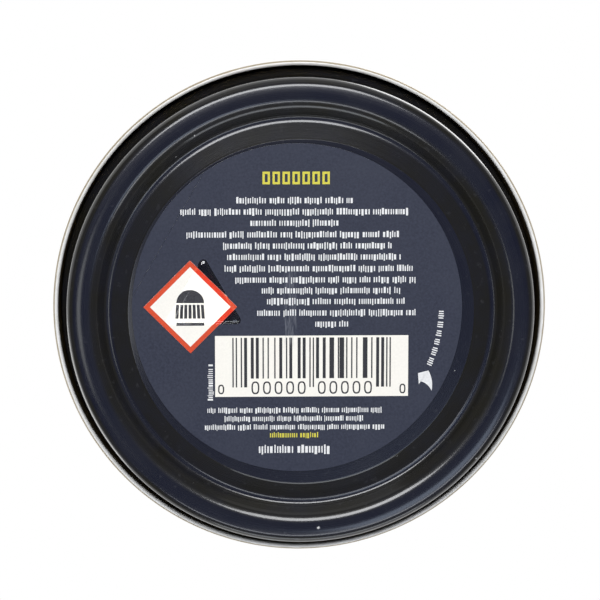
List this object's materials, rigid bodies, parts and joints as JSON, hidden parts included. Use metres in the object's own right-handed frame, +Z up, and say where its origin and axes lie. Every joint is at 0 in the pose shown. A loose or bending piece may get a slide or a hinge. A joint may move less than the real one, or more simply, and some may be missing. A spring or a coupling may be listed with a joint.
{
  "type": "shoe polish tin",
  "caption": "Round slip-lid tin of shoe polish with a grooved bottom, a rolled lid edge and a peel-back label in the recess underneath.",
  "frame": {"origin": "centre of the foot plane, on the tin's axis", "axes": "+Z up the tin's axis from its foot ring to its lid; seen from below with -Y at the top, the label reads upright"},
  "size_m": [0.076, 0.076, 0.021],
  "materials": {
    "lacquered_pan": "gloss navy-black lacquer over tinplate",
    "lacquered_lid": "gloss navy-black lacquer over tinplate, bare bright tin on the rolled edge",
    "neutral_wax": "satin wax with a brushed swirl",
    "label_base": "matte film-faced paper",
    "label_leaf": "matte slate print with off-white and yellow marks",
    "diamond_sticker": "satin white with a red border",
    "clear_resin": "clear gloss resin"
  },
  "bodies": {
    "pan": {"base_pan": "lacquered_pan", "polish_cake": "neutral_wax", "label_base_ply": "label_base"},
    "lid": {"lid_shell": "lacquered_lid"},
    "leaf": {"label_peel_leaf": "label_leaf", "hazard_diamond_sticker": "diamond_sticker", "touch_warning_mark": "clear_resin"}
  },
  "joints": [
    {"name": "lid_lift", "type": "slide", "parent": "pan", "child": "lid", "axis": [0, 0, 1], "range_m": [0, 0.045]},
    {"name": "label_peel", "type": "hinge", "parent": "pan", "child": "leaf", "pos_m": [-0.0201, -0.01191, 0.0007], "axis": [-0.5, 0.866, 0], "range_deg": [0, 150]}
  ]
}
